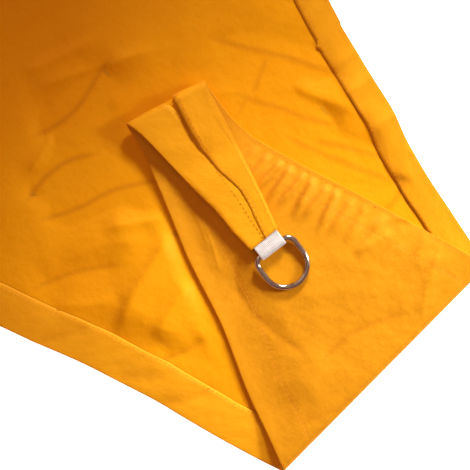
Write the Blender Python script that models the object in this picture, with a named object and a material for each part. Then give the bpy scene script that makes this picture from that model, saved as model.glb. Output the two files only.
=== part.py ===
"""Three-cornered shade sail, lying on the ground with one corner folded over twice.

The sail is one panel of coated cloth with hollow edges, turned over into a hem
all round. Each tip narrows to a short strap, and a loop of webbing sewn into it
holds a steel D-ring. Corner A is folded over onto the sail, and its strap is
folded back again, so that its ring lies on top. Corners B and C lie flat.

The sail is worked out in two steps. First comes the flat cloth, with x across
corner A and y up the sail, and the line of the big fold near y = 0. Then each
point is carried round the small fold and the big fold into its place. Lengths
are in millimetres until the meshes are written.
"""

import math

import bmesh
import bpy
import numpy as np

MM = 0.001

# The flat sail: a right-angled triangle, measured between the points where its
# edges would cross, with each edge hollowed inwards by a shallow curve.
LEG = 2000.0
HYPOTENUSE = LEG * math.sqrt(2.0)
CORNER_A = np.array([5.0, -500.0])
HALF_ANGLE_A = math.radians(22.5)
LEG_HOLLOW = 110.0
HYPOTENUSE_HOLLOW = 137.0

# The cloth, the hem of each edge and the pocket in each tip that holds the webbing.
CLOTH = 1.2
HEMS = {"ab": 34.0, "bc": 34.0, "ca": 26.0}
HEM_RISE = 1.0
HEM_STEP = 0.6
TIP_WIDTH = 29.0
POCKET_HEIGHT = 3.7
POCKET_HALF = 12.9
POCKET_SLOPE = 0.5
TIP_HEM_SHARE = 0.8

# The two folds of corner A. Each turns through a half circle, and the cloth
# that comes back sinks from the bend's width to its gap while it settles.
BIG_FOLD_RADIUS = 4.5
BIG_FOLD_GAP = 5.2
BIG_FOLD_SETTLES = 90.0
SMALL_FOLD_RADIUS = 6.5
SMALL_FOLD_GAP = 3.0
SMALL_FOLD_SETTLES = 76.0
SMALL_FOLD_MIDDLE = np.array([40.4, -301.6])
SMALL_FOLD_ANGLE = math.radians(16.5)

# The left side of the strap stands up off the cloth below it.
STRAP_LIFT = 4.0
STRAP_LIFT_ACROSS = (10.0, -34.0)
STRAP_LIFT_STARTS = (2.0, 40.0)
STRAP_LIFT_ENDS = (86.0, 50.0)

# The fittings.
WEBBING = 25.0
WEBBING_THICK = 1.4
TAIL_GAP = 0.3
TAIL_SHORT = 2.0
WIRE = 5.0
RING_WIDTH = 43.7
RING_DEPTH = 42.7
RING_BEND = 8.0
BAR_FROM_TIP = 9.5
BAR_CLEARANCE = 0.5
TIP_LIFT = 1.6
RING_DROP = math.radians(2.8)

# The loop of corner A has swung round a little in its strap, so its pocket is
# wider at the bottom.
LOOP_TURN = math.radians(3.0)
LOOP_SLIDE = 0.9
LOOP_SPREAD = 3.0

# Mesh density. The rows of corner A are counted stretch by stretch from its tip:
# strap, small bend, folded corner, big bend, the sail beside it, and the rest.
STRAP_ROWS = 11
SMALL_BEND_ROWS = 7
CORNER_ROWS = 18
BIG_BEND_ROWS = 6
BESIDE_ROWS = 22
FAR_ROWS = 11
FAR_CROWDING = 1.5
PLAIN_ROWS = 14
PLAIN_EVEN_SHARE = 0.16
PLAIN_CROWDING = 2.1
HALF_COLUMNS = 14
WIRE_SIDES = 8

# How many rows the pocket of each corner is deep, and its strap.
POCKET_ROWS = {"a": 5, "b": 3, "c": 3}
RAISED_ROWS = {"a": STRAP_ROWS, "b": 4, "c": 4}

# Each corner with the edge to its left and the edge to its right, seen from the
# middle of the sail.
CORNERS = (("a", "ab", "ca"), ("b", "bc", "ab"), ("c", "ca", "bc"))

# The middle of the big fold, measured from the middle of the whole sail.
FOLD_PLACE = np.array([-145.02, -1051.06])

# Where corner A's edges run as it lies, station by station up the flat cloth:
# row is the distance from the tip, the others are places on the cloth. The
# gathers in the right-hand hem pull the strap over to that side.
CORNER_A_EDGES = (
    # row, left x, left y, right x, right y
    (0.0, 85.3, -443.9, 111.6, -430.3),
    (20.0, 73.9, -425.2, 107.9, -412.5),
    (42.0, 63.8, -405.2, 103.3, -392.0),
    (64.0, 51.3, -386.0, 98.0, -371.6),
    (88.0, 38.6, -365.2, 92.0, -349.2),
    (112.0, 26.0, -343.9, 85.9, -326.2),
    (132.0, 15.1, -326.8, 80.7, -307.4),
    (149.0, 4.0, -312.4, 76.6, -290.9),
    (173.0, -3.0, -286.0, 72.6, -270.0),
    (200.0, -13.5, -259.0, 69.9, -248.0),
    (230.0, -26.0, -229.0, 71.5, -225.0),
    (265.0, -41.0, -194.0, 80.5, -190.0),
    (325.0, -62.3, -131.0, 99.0, -130.0),
    (385.0, -89.5, -70.0, 116.5, -69.0),
    (425.0, -104.0, -29.0, 127.5, -29.0),
    (452.0, -114.0, -2.6, 133.5, -2.6),
    (509.0, -131.5, 54.7, 145.5, 54.7),
    (546.0, -140.9, 91.0, 153.0, 91.0),
    (579.0, -149.2, 124.0, 162.0, 124.0),
    (606.0, -157.7, 151.0, 172.0, 151.0),
    (640.0, -168.5, 185.0, 180.0, 185.0),
    (689.0, -187.5, 234.0, 192.5, 234.0),
)
BIG_FOLD_ROW = 452.0
SMALL_FOLD_ROW = 149.0
LAST_STATION_ROW = 689.0

# Soft folds in the cloth as it lies. Each is a ridge along a straight line.
SOFT_FOLDS = (
    # from x, from y, to x, to y, height, width
    (-30.0, 402.0, 60.0, 352.0, 5.0, 15.0),
    (-105.0, 352.0, 22.0, 318.0, 6.0, 15.0),
    (-128.0, 300.0, -20.0, 256.0, 5.0, 14.0),
    (-38.0, 216.0, -128.0, 176.0, 4.5, 13.0),
    (-52.0, 182.0, -118.0, 138.0, 3.5, 11.0),
    (92.0, 285.0, 168.0, 204.0, 5.0, 12.0),
    (122.0, 222.0, 158.0, 168.0, 3.5, 10.0),
    (118.0, 158.0, 156.0, 112.0, 3.5, 10.0),
    (-250.0, 620.0, 330.0, 1120.0, 12.0, 75.0),
    (380.0, 760.0, 120.0, 420.0, 10.0, 60.0),
    (-560.0, 1190.0, 60.0, 1010.0, 14.0, 80.0),
    (820.0, 1780.0, 420.0, 1180.0, 14.0, 80.0),
    (-180.0, 1430.0, 520.0, 1560.0, 12.0, 85.0),
)
FOLDS_FADE = 30.0

# The sail lies flat under the folded corner: the lines of its left, right and
# upper sides, each as where it crosses an axis and its slope.
COVER_LEFT = (-115.0, 0.387)
COVER_RIGHT = (134.0, -0.235)
COVER_TOP = (333.7, -0.3)
COVER_SIDE_FADE = 26.0
COVER_TOP_FADE = 30.0

# It lies flat along the big fold too, and near the tips of corners B and C.
FOLD_FLAT = (4.0, 60.0)
TIP_FLAT = (60.0, 240.0)
TIP_LIFTED = (260.0, 160.0)

CLOTH_COLOUR = (0.87, 0.32, 0.012, 1.0)
WEBBING_COLOUR = (0.83, 0.82, 0.80, 1.0)
STEEL_COLOUR = (0.62, 0.60, 0.57, 1.0)


def smooth(low, high, value):
    """Rise from 0 at low to 1 at high, level at both ends."""
    t = np.clip((value - low) / (high - low), 0.0, 1.0)
    return t * t * (3.0 - 2.0 * t)


def direction(angle):
    """Unit vector at an angle from +x."""
    return np.array([math.cos(angle), math.sin(angle)])


def curve_through(stations, at):
    """Smooth curve through the rows of a table, whose first column is where each lies.

    Each stretch is a cubic whose end slopes are those of the chord between the
    two neighbouring stations.
    """
    stations = np.asarray(stations, float)
    place, value = stations[:, 0], stations[:, 1:]
    slope = np.gradient(value, place, axis=0)
    at = np.clip(at, place[0], place[-1])
    i = np.clip(np.searchsorted(place, at) - 1, 0, len(place) - 2)
    gap = (place[i + 1] - place[i])[:, None]
    t = (at - place[i])[:, None] / gap
    return (value[i] * (1 + 2 * t) * (1 - t) ** 2 + value[i + 1] * t * t * (3 - 2 * t)
            + gap * t * (1 - t) * (slope[i] * (1 - t) - slope[i + 1] * t))


class Edge:
    """One hollow edge of the flat sail: a parabola that bows towards the sail."""

    def __init__(self, start, end, hollow, inward):
        self.start = start
        self.chord = end - start
        self.bow = inward * hollow

    def at(self, t):
        """Points at fractions t of the way along the chord."""
        t = np.asarray(t, float)[..., None]
        return self.start + self.chord * t + self.bow * 4.0 * t * (1.0 - t)

    def back_at(self, t):
        """Points at fractions t of the way back from the end of the chord."""
        return self.at(1.0 - np.asarray(t, float))


def flat_corners():
    """The three points where the edges would cross."""
    up = math.pi / 2
    a = CORNER_A
    b = a + LEG * direction(up + HALF_ANGLE_A)
    c = a + HYPOTENUSE * direction(up - HALF_ANGLE_A)
    return a, b, c


def flat_edges():
    """The edges AB, BC and CA, each bowed towards the middle of the sail."""
    a, b, c = flat_corners()
    middle = (a + b + c) / 3.0
    edges = {}
    for name, start, end, hollow in (("ab", a, b, LEG_HOLLOW), ("bc", b, c, LEG_HOLLOW),
                                     ("ca", c, a, HYPOTENUSE_HOLLOW)):
        along = (end - start) / np.linalg.norm(end - start)
        across = np.array([-along[1], along[0]])
        inward = across * np.sign(np.dot(middle - start, across))
        edges[name] = Edge(start, end, hollow, inward)
    return edges, middle


def plain_corner_rows(left, right, middle):
    """Left ends, right ends and middles of the rows of a corner that lies flat.

    The rows start where the two edges stand one tip's width apart. They are
    square to the corner and close together there, and reach the middle of both
    edges at last.
    """
    length = {side: np.linalg.norm(side(1.0) - side(0.0)) for side in (left, right)}
    short = min(length.values())
    trial = np.linspace(0.0, 0.1 * short, 2001)
    width = np.linalg.norm(left(trial / length[left]) - right(trial / length[right]), axis=1)
    first = trial[np.argmax(width >= TIP_WIDTH)]
    step = np.linspace(0.0, 1.0, PLAIN_ROWS + 1)
    spread = PLAIN_EVEN_SHARE * step + (1.0 - PLAIN_EVEN_SHARE) * step ** PLAIN_CROWDING
    common = first + (short / 2.0 - first) * spread
    left_ends, right_ends = (
        side((common + (length[side] - short) / 2.0 * step ** 3) / length[side])
        for side in (left, right))
    bend = smooth(0.0, 1.0, step)[:, None]
    straight = (left_ends + right_ends) / 2.0
    start, chord = straight[0], middle - straight[0]
    reach = np.linalg.norm(straight - start, axis=1) / np.linalg.norm(straight[-1] - start)
    centres = straight * (1.0 - bend) + (start + chord * reach[:, None]) * bend
    return left_ends, right_ends, centres


def folded_corner_rows(left, right, middle):
    """Rows of corner A: by the table as far as it goes, and then along the edges."""
    big_bend = math.pi * BIG_FOLD_RADIUS / 2.0
    small_bend = math.pi * SMALL_FOLD_RADIUS / 2.0
    small_bend_ends = SMALL_FOLD_ROW + small_bend * np.array([-1.0, 1.0])
    big_bend_ends = BIG_FOLD_ROW + big_bend * np.array([-1.0, 1.0])
    near = np.concatenate((
        np.linspace(0.0, small_bend_ends[0], STRAP_ROWS + 1)[:-1],
        np.linspace(*small_bend_ends, SMALL_BEND_ROWS),
        np.linspace(small_bend_ends[1], big_bend_ends[0], CORNER_ROWS + 2)[1:-1],
        np.linspace(*big_bend_ends, BIG_BEND_ROWS),
        np.linspace(big_bend_ends[1], LAST_STATION_ROW, BESIDE_ROWS + 1)[1:],
    ))
    ends = curve_through(CORNER_A_EDGES, near)
    near_left, near_right = ends[:, :2], ends[:, 2:]
    step = np.linspace(0.0, 1.0, FAR_ROWS + 1)[1:] ** FAR_CROWDING
    left_start = nearest_fraction(left, near_left[-1])
    right_start = nearest_fraction(right, near_right[-1])
    far_left = left(left_start + (0.5 - left_start) * step)
    far_right = right(right_start + (0.5 - right_start) * step)
    near_centre = (near_left + near_right) / 2.0
    far_centre = near_centre[-1] + (middle - near_centre[-1]) * step[:, None]
    return (np.vstack((near_left, far_left)), np.vstack((near_right, far_right)),
            np.vstack((near_centre, far_centre)))


def nearest_fraction(edge, point):
    """Fraction along an edge of its nearest place to a point."""
    t = np.linspace(0.0, 1.0, 4001)
    return t[np.argmin(np.linalg.norm(edge(t) - point, axis=1))]


def columns_across(ends, centres, along_middle, hem_width, pocket):
    """Fractions of the way from a row's middle to its end at which its columns run.

    The last three are the foot of the hem, its free edge and the sail's edge.
    They keep the hem's width square to the sail's edge, whatever the row's
    slant. In the rows of the pocket the second last is the pocket's side.
    """
    reach = ends - centres
    length = np.linalg.norm(reach, axis=1)
    run = np.gradient(ends, axis=0)
    run[-1] = along_middle
    cross = np.abs(run[:, 0] * reach[:, 1] - run[:, 1] * reach[:, 0])
    square = cross / (np.linalg.norm(run, axis=1) * length)
    hem = np.minimum(hem_width / square, TIP_HEM_SHARE * length)
    rows = len(pocket)
    hem[:rows] = length[:rows] - pocket
    run_in = slice(rows - 1, rows + 3)
    share = hem[run_in] / length[run_in]
    hem[run_in] = np.linspace(share[0], share[-1], len(share)) * length[run_in]
    foot = 1.0 - (hem + HEM_STEP) / length
    inner = np.linspace(0.0, 1.0, HALF_COLUMNS - 1)[None, :] * foot[:, None]
    return np.hstack((inner, (1.0 - hem / length)[:, None], np.ones((len(ends), 1))))


def corner_grid(rows, edges, left_name, right_name, pocket):
    """Flat points of one corner's rows, from the left edge to the right edge."""
    left_ends, right_ends, centres = rows
    halves = []
    for name, ends in ((left_name, left_ends), (right_name, right_ends)):
        share = columns_across(ends, centres, edges[name].chord, HEMS[name], pocket)
        halves.append(centres[:, None] + (ends - centres)[:, None] * share[:, :, None])
    left, right = halves
    return np.concatenate((left[:, :0:-1], right), axis=1)


def fold_profile(radius, gap, settles, reach=1600.0):
    """A sheet that turns through a half circle and comes back over itself.

    Gives, along its length from where it starts to turn, how far it has gone on
    (back again is negative), how far it has risen, and its angle. After the
    bend it sinks from the bend's width to its gap over the settling length.
    """
    turn = np.linspace(0.0, math.pi, 90)
    back = np.concatenate((np.linspace(0.0, settles, 200), [reach]))[1:]
    drop = (2.0 * radius - gap) * smooth(0.0, settles, back)
    forward = np.concatenate((radius * np.sin(turn), -back))
    rise = np.concatenate((radius * (1.0 - np.cos(turn)), 2.0 * radius - drop))
    length = np.concatenate(([0.0], np.cumsum(np.hypot(np.diff(forward), np.diff(rise)))))
    tilt = np.arctan2(np.gradient(rise, length), np.gradient(forward, length))
    tilt = np.where(tilt < -0.5 * math.pi, tilt + 2.0 * math.pi, tilt)
    return length, forward, rise, tilt


BIG_FOLD = fold_profile(BIG_FOLD_RADIUS, BIG_FOLD_GAP, BIG_FOLD_SETTLES)
SMALL_FOLD = fold_profile(SMALL_FOLD_RADIUS, SMALL_FOLD_GAP, SMALL_FOLD_SETTLES)


def bend(distance, height, profile, radius, side):
    """Carry points round one fold.

    distance is how far each point is past the line of the fold, and height how
    far it stands off the cloth's middle. side is +1 where the cloth folds over
    onto its upper face, -1 where it folds under.
    """
    length, forward, rise, tilt = profile
    start = -math.pi * radius / 2.0
    t = distance - start
    off = height * side
    angle = np.interp(t, length, tilt)
    run = start + np.where(t > 0.0, np.interp(t, length, forward), t) - off * np.sin(angle)
    up = np.where(t > 0.0, np.interp(t, length, rise), 0.0) + off * np.cos(angle)
    return run, up * side


def strap_lift(along, past):
    """How far the strap's left side stands up, between its fold and its loop."""
    across = smooth(*STRAP_LIFT_ACROSS, along)
    return STRAP_LIFT * across * smooth(*STRAP_LIFT_STARTS, past) * smooth(*STRAP_LIFT_ENDS, past)


def under_corner(x, y):
    """1 where the folded corner covers the sail, 0 outside it."""
    left = smooth(-COVER_SIDE_FADE, 0.0, x - COVER_LEFT[0] - COVER_LEFT[1] * y)
    right = smooth(-COVER_SIDE_FADE, 0.0, COVER_RIGHT[0] + COVER_RIGHT[1] * y - x)
    top = smooth(0.0, COVER_TOP_FADE, COVER_TOP[0] + COVER_TOP[1] * x - y)
    return left * right * top


def lie(x, y):
    """Height of the cloth's soft folds where it lies, flat under the folded corner."""
    height = np.zeros_like(x)
    for x0, y0, x1, y1, tall, wide in SOFT_FOLDS:
        run = np.array([x1 - x0, y1 - y0])
        size = np.linalg.norm(run)
        run = run / size
        along = (x - x0) * run[0] + (y - y0) * run[1]
        across = (x - x0) * run[1] - (y - y0) * run[0]
        fade = min(size / 2.0, FOLDS_FADE + wide)
        ends = smooth(0.0, fade, along) * smooth(size, size - fade, along)
        height = height + tall * ends * np.exp(-(across / wide) ** 2)
    height = height * (1.0 - under_corner(x, y)) * smooth(*FOLD_FLAT, y)
    for corner in flat_corners()[1:]:
        away = np.hypot(x - corner[0], y - corner[1])
        height = height * smooth(*TIP_FLAT, away) + TIP_LIFT * smooth(*TIP_LIFTED, away)
    return height


def place(flat, height):
    """Flat cloth and height above its middle, to where the point lies, in mm."""
    along_fold = direction(SMALL_FOLD_ANGLE)
    past_fold = np.array([along_fold[1], -along_fold[0]])
    off = flat - SMALL_FOLD_MIDDLE
    along, past = off @ along_fold, off @ past_fold
    run, up = bend(past, height, SMALL_FOLD, SMALL_FOLD_RADIUS, -1.0)
    on_strap = past > -math.pi * SMALL_FOLD_RADIUS / 2.0
    up = np.where(on_strap, up - strap_lift(along, past), height)
    run = np.where(on_strap, run, past)
    moved = SMALL_FOLD_MIDDLE + along[..., None] * along_fold + run[..., None] * past_fold
    big_line = -(math.pi / 2.0 - 1.0) * BIG_FOLD_RADIUS
    run, up = bend(big_line - moved[..., 1], up, BIG_FOLD, BIG_FOLD_RADIUS, 1.0)
    x, y = moved[..., 0], big_line - run
    folded = moved[..., 1] < big_line
    z = up + np.where(folded, 0.0, lie(x, y)) + CLOTH / 2.0
    return np.stack((x, y, z), axis=-1)


def heights(flat, pocket_rows, raised_rows):
    """Heights of the cloth's two faces and of its pocket's, over one corner's grid.

    Both hems fill the strap, the right one on top. Beside the pocket the cloth
    slopes down to the sail's edge.
    """
    hem = np.zeros(flat.shape[:2])
    hem[:, :2] = hem[:, -2:] = HEM_RISE
    hem[:raised_rows] = HEM_RISE
    hem[:raised_rows, -2:] = 2.0 * HEM_RISE
    below = np.full_like(hem, -CLOTH / 2.0)
    above = CLOTH / 2.0 + hem
    pocket_floor = np.full_like(hem, CLOTH / 2.0)
    pocket_roof = pocket_floor + POCKET_HEIGHT
    inside = slice(0, pocket_rows + 1)
    above[inside] = CLOTH * 1.5 + POCKET_HEIGHT
    for edge, wall in ((0, 1), (-1, -2)):
        wide = np.linalg.norm(flat[inside, edge] - flat[inside, wall], axis=-1)
        above[inside, edge] = np.maximum(CLOTH / 2.0 + HEM_RISE,
                                         above[inside, wall] - POCKET_SLOPE * wide)
    return below, above, pocket_floor, pocket_roof


class SailMesh:
    """Collects the sail's corners, whose last rows are shared, into one closed mesh."""

    def __init__(self):
        self.points = []
        self.faces = []
        self.shared = {}

    def add(self, points):
        """Add a grid of points and give their numbers."""
        first = len(self.points)
        self.points.extend(points.reshape(-1, 3))
        return np.arange(first, len(self.points)).reshape(points.shape[:-1])

    def share_last_row(self, numbers, layer, left_name, right_name):
        """Use the points of the neighbouring corner where it was built first."""
        half = HALF_COLUMNS
        sides = ((left_name, numbers[-1, :half][::-1]), (right_name, numbers[-1, half + 1:]))
        for name, part in sides:
            key = (layer, name)
            if key in self.shared:
                part[:] = self.shared[key]
            self.shared.setdefault(key, part.copy())
        key = (layer, "middle")
        self.shared.setdefault(key, numbers[-1, half])
        numbers[-1, half] = self.shared[key]

    def quads(self, grid):
        """Faces of a grid of numbers."""
        self.faces.extend(grid_faces(grid))

    def strip(self, first, second):
        """Faces between two equal rows of numbers."""
        self.faces.extend(grid_faces(np.stack((first, second))))

    def corner(self, flat, left_name, right_name, pocket_rows, raised_rows):
        """Add one corner: its two faces, its pocket, and the rim along its edges."""
        below, above, floor, roof = heights(flat, pocket_rows, raised_rows)
        bottom = self.add(place(flat, below))
        top = self.add(place(flat, above))
        self.share_last_row(bottom, "bottom", left_name, right_name)
        self.share_last_row(top, "top", left_name, right_name)
        inside = (slice(0, pocket_rows + 1), slice(1, -1))
        low = self.add(place(flat[inside], floor[inside]))
        high = self.add(place(flat[inside], roof[inside]))
        for face in (top, bottom, low, high):
            self.quads(face)
        self.strip(low[-1], high[-1])
        self.strip(high[0], top[0, 1:-1])
        self.strip(bottom[0, 1:-1], low[0])
        for edge, wall in ((0, 1), (-1, -2)):
            side = min(edge, 0)
            self.strip(bottom[:, edge], top[:, edge])
            self.strip(low[:, side], high[:, side])
            self.faces.append([int(n) for n in (
                bottom[0, edge], bottom[0, wall], low[0, side], high[0, side],
                top[0, wall], top[0, edge])])

    def build(self, name, material):
        """Write the collected faces as one object."""
        used = sorted({n for face in self.faces for n in face})
        renumber = {n: i for i, n in enumerate(used)}
        points = np.array([self.points[n] for n in used])
        faces = [[renumber[n] for n in face] for face in self.faces]
        return write_mesh(name, to_world(points), faces, material)


def to_world(points):
    """Millimetres about the big fold to metres about the middle of the sail."""
    return (points + np.array([*FOLD_PLACE, 0.0])) * MM


def grid_faces(grid):
    """Four-cornered faces between the numbers of a grid."""
    a, b, c, d = grid[:-1, :-1], grid[:-1, 1:], grid[1:, 1:], grid[1:, :-1]
    return np.stack((a, b, c, d), axis=-1).reshape(-1, 4).tolist()


def write_mesh(name, points, faces, material):
    """A closed mesh at the origin, with its place in its mesh, its faces turned out."""
    mesh = bpy.data.meshes.new(name)
    mesh.from_pydata(points.tolist(), [], faces)
    mesh.materials.append(material)
    solid = bmesh.new()
    solid.from_mesh(mesh)
    bmesh.ops.recalc_face_normals(solid, faces=solid.faces)
    solid.to_mesh(mesh)
    solid.free()
    mesh.shade_smooth()
    mesh.set_sharp_from_angle(angle=math.radians(50.0))
    obj = bpy.data.objects.new(name, mesh)
    bpy.context.collection.objects.link(obj)
    return obj


def plain_material(name, colour, roughness, metallic=0.0):
    """A Principled material of one colour."""
    material = bpy.data.materials.new(name)
    material.use_nodes = True
    shader = material.node_tree.nodes["Principled BSDF"]
    shader.inputs["Base Color"].default_value = colour
    shader.inputs["Roughness"].default_value = roughness
    shader.inputs["Metallic"].default_value = metallic
    return material


class Fitting:
    """Where a corner's loop and ring go: across, out from the tip, and up."""

    def __init__(self, tip, out, tail, turn, slide):
        self.tail = tail
        angle = math.atan2(out[1], out[0]) + turn
        self.out = np.array([*direction(angle), 0.0])
        self.across = np.array([*direction(angle + math.pi / 2.0), 0.0])
        self.up = np.array([0.0, 0.0, 1.0])
        self.tip = tip + slide * self.across

    def points(self, across, out, up):
        """Points from their distances across, out from the tip, and up."""
        return (self.tip + np.multiply.outer(across, self.across)
                + np.multiply.outer(out, self.out) + np.multiply.outer(up, self.up))


def fitting_at(flat, pocket_rows, swung):
    """Fitting of a corner, read off the middle of its pocket."""
    middle = flat[:pocket_rows + 1, HALF_COLUMNS]
    level = np.full(len(middle), (CLOTH + POCKET_HEIGHT) / 2.0)
    line = place(middle, level)
    tail = np.linalg.norm(middle[0] - middle[-1]) - TAIL_SHORT
    turn, slide = (LOOP_TURN, LOOP_SLIDE) if swung else (0.0, 0.0)
    return Fitting(line[0], line[0] - line[-1], tail, turn, slide)


def loop_outline(tail):
    """Middle line of the webbing from the side: out along one tail, round the bar, back."""
    radius = WIRE / 2.0 + BAR_CLEARANCE + WEBBING_THICK / 2.0
    half_gap = (WEBBING_THICK + TAIL_GAP) / 2.0
    reach = math.hypot(BAR_FROM_TIP, half_gap)
    touch = math.acos(radius / reach) - math.atan2(half_gap, BAR_FROM_TIP)
    turn = np.linspace(math.pi - touch, touch - math.pi, 13)
    out = np.concatenate(([-tail, 0.0], BAR_FROM_TIP + radius * np.cos(turn), [0.0, -tail]))
    up = np.concatenate(([half_gap] * 2, radius * np.sin(turn), [-half_gap] * 2))
    return out, up


def build_webbing(name, fitting, material):
    """A strip of webbing, folded round the bar of its ring."""
    out, up = loop_outline(fitting.tail)
    run = np.stack((np.gradient(out), np.gradient(up)))
    run /= np.linalg.norm(run, axis=0)
    half = WEBBING_THICK / 2.0
    corners = []
    for side, face in ((-1, -1), (1, -1), (1, 1), (-1, 1)):
        across = np.full(len(out), side * WEBBING / 2.0)
        off = face * half
        corners.append(fitting.points(across, out - off * run[1], up + off * run[0]))
    return write_tube(name, np.stack(corners, axis=1), material, closed=False)


def write_tube(name, rings, material, closed):
    """A solid from a row of equal rings of points, joined end to end or capped."""
    count, sides = rings.shape[:2]
    numbers = np.arange(count * sides).reshape(count, sides)
    if closed:
        numbers = np.vstack((numbers, numbers[:1]))
    faces = grid_faces(np.hstack((numbers, numbers[:, :1])))
    if not closed:
        faces += [numbers[0].tolist(), numbers[-1].tolist()]
    return write_mesh(name, to_world(rings.reshape(-1, 3)), faces, material)


def ring_outline():
    """Middle line of the D-ring: its bar, two rounded corners, two sides and its bow."""
    half = (RING_WIDTH - WIRE) / 2.0
    bow_centre = RING_DEPTH - WIRE - half
    bow = np.linspace(0.0, math.pi, 21)
    corner = np.linspace(0.0, math.pi / 2.0, 6)
    straight = half - RING_BEND
    bar = np.linspace(-straight, straight, 6)[1:-1]
    across = np.concatenate((half * np.cos(bow), -straight - RING_BEND * np.cos(corner),
                             bar, straight + RING_BEND * np.sin(corner)))
    out = np.concatenate((bow_centre + half * np.sin(bow), RING_BEND * (1.0 - np.sin(corner)),
                          np.zeros(len(bar)), RING_BEND * (1.0 - np.cos(corner))))
    return across, out


def build_ring(name, fitting, material):
    """A round wire bent into a D, its bow let down to lie on what is below."""
    across, out = ring_outline()
    run = np.stack((np.roll(across, -1) - np.roll(across, 1), np.roll(out, -1) - np.roll(out, 1)))
    run /= np.linalg.norm(run, axis=0)
    turn = np.arange(WIRE_SIDES) * 2.0 * math.pi / WIRE_SIDES + math.pi / WIRE_SIDES
    side = np.cos(turn)[None, :] * WIRE / 2.0
    up = np.sin(turn)[None, :] * WIRE / 2.0
    ring_across = across[:, None] + run[1][:, None] * side
    ring_out = out[:, None] - run[0][:, None] * side
    flat = np.broadcast_to(up, ring_out.shape)
    lowered_out = BAR_FROM_TIP + ring_out * math.cos(RING_DROP) + flat * math.sin(RING_DROP)
    lowered_up = flat * math.cos(RING_DROP) - ring_out * math.sin(RING_DROP)
    points = fitting.points(ring_across, lowered_out, lowered_up)
    return write_tube(name, points, material, closed=True)


def main():
    for obj in list(bpy.data.objects):
        bpy.data.objects.remove(obj, do_unlink=True)
    cloth = plain_material("orange_cloth", CLOTH_COLOUR, 0.45)
    webbing = plain_material("white_webbing", WEBBING_COLOUR, 0.8)
    steel = plain_material("steel", STEEL_COLOUR, 0.2, 1.0)

    edges, middle = flat_edges()
    sail = SailMesh()
    fittings = {}
    for corner, left, right in CORNERS:
        corner_rows = folded_corner_rows if corner == "a" else plain_corner_rows
        rows = corner_rows(edges[left].at, edges[right].back_at, middle)
        pocket_rows = POCKET_ROWS[corner]
        pocket = np.full(pocket_rows + 1, POCKET_HALF)
        if corner == "a":
            pocket += np.linspace(LOOP_SLIDE, LOOP_SPREAD, pocket_rows + 1)
        flat = corner_grid(rows, edges, left, right, pocket)
        sail.corner(flat, left, right, pocket_rows, RAISED_ROWS[corner])
        fittings[corner] = fitting_at(flat, pocket_rows, corner == "a")
    sail.build("sail_cloth", cloth)
    for corner, fitting in fittings.items():
        build_webbing("webbing_loop_" + corner, fitting, webbing)
        build_ring("d_ring_" + corner, fitting, steel)


main()
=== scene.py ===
# %% [markdown]
# # A shade sail, lying with one corner folded over
#
# A shade sail is one panel of coated cloth, hung by rings at its corners. This one
# lies on the ground. One corner is folded over onto the sail, and its narrow strap
# is folded back again, so that its ring lies on top.
#
# Every finished piece lies where the plain model's solids lie. Lengths are in
# millimetres, and become metres when a mesh is written.

# %% Load the plain model
from math import acos, atan2, cos, hypot, inf, pi, radians, sin, sqrt

import bmesh
import bpy
import numpy as np
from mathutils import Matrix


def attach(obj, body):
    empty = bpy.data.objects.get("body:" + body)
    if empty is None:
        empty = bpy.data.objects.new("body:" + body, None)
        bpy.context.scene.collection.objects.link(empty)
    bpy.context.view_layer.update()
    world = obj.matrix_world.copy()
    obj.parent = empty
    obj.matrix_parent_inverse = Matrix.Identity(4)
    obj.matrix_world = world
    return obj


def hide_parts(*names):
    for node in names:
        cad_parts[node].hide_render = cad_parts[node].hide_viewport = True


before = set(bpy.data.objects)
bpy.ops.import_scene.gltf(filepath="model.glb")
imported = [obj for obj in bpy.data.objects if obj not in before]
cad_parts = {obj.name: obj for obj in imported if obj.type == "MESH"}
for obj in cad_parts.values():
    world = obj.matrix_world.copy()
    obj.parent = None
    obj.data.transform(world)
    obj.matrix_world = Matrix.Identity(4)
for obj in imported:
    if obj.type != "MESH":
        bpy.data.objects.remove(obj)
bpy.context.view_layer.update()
MM = 0.001

# %% [markdown]
# ## Small tools
#
# Every shape here is a grid of points in one numpy array, and one function turns
# grids into meshes. Most shapes fade in and out with the smooth step `ease`.

# %% Smooth steps and lines
def ease(low, high, value):
    """Rise from 0 at low to 1 at high: 3t^2 - 2t^3, with t from 0 to 1 between them."""
    t = np.clip((value - low) / (high - low), 0, 1)
    return t * t * (3 - 2 * t)


def direction(angle):
    """Unit vector at an angle from +x."""
    return np.array([cos(angle), sin(angle)])


def run_length(points):
    """Length along a line up to each of its points."""
    steps = np.linalg.norm(np.diff(points, axis=0), axis=1)
    return np.concatenate(([0], np.cumsum(steps)))


def at_length(length, line, at):
    """The places on a line at some lengths along it."""
    return np.stack([np.interp(at, length, values) for values in line.T], axis=-1)


# %% Grids and meshes
def grid_quads(numbers):
    """The four-cornered faces between neighbouring numbers of a grid."""
    corners = (numbers[:-1, :-1], numbers[:-1, 1:], numbers[1:, 1:], numbers[1:, :-1])
    return np.stack(corners, axis=-1).reshape(-1, 4)


def placed(name, data):
    """An object in the scene, made from its data."""
    made = bpy.data.objects.new(name, data)
    bpy.context.collection.objects.link(made)
    return made


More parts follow.
